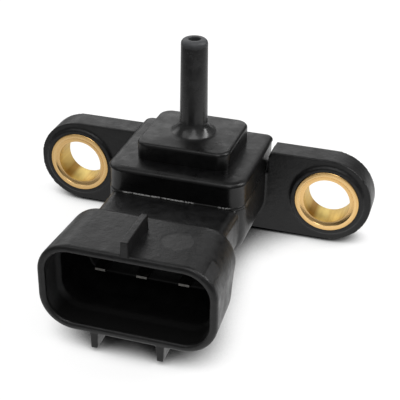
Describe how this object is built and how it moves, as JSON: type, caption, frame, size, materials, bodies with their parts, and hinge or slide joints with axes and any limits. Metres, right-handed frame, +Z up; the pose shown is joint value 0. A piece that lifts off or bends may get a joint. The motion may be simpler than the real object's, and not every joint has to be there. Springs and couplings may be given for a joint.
{
  "type": "manifold absolute pressure sensor",
  "caption": "Black plastic manifold absolute pressure sensor with an oval plug socket, bolt ears with brass bushes and an upright hose port.",
  "frame": {"origin": "middle of the part's footprint, level with the feet of the socket's guard ribs", "axes": "+X along the bolt ears, -Y out of the plug socket's mouth, +Z up along the hose port"},
  "size_m": [0.0518, 0.0362, 0.0337],
  "materials": {
    "black_resin": "satin black, glass-filled",
    "cover_resin": "satin black",
    "brass": "turned",
    "tinned_brass": "tin plated",
    "sealant": "cured adhesive",
    "carrier_resin": "moulded",
    "glass": "ground",
    "silicon": "polished",
    "gold": "drawn wire",
    "ceramic": "fired"
  },
  "bodies": {
    "root": {"connector_case": "black_resin", "left_bush": "brass", "right_bush": "brass", "port_cover": "cover_resin", "adhesive_seal": "sealant", "sensor_package": "carrier_resin", "package_bond": "sealant", "glass_pedestal": "glass", "silicon_die": "silicon", "supply_terminal": "tinned_brass", "signal_terminal": "tinned_brass", "ground_terminal": "tinned_brass", "supply_lead": "tinned_brass", "signal_lead": "tinned_brass", "ground_lead": "tinned_brass", "supply_wire": "gold", "signal_wire": "gold", "ground_wire": "gold", "supply_capacitor": "ceramic", "signal_capacitor": "ceramic"}
  },
  "joints": []
}
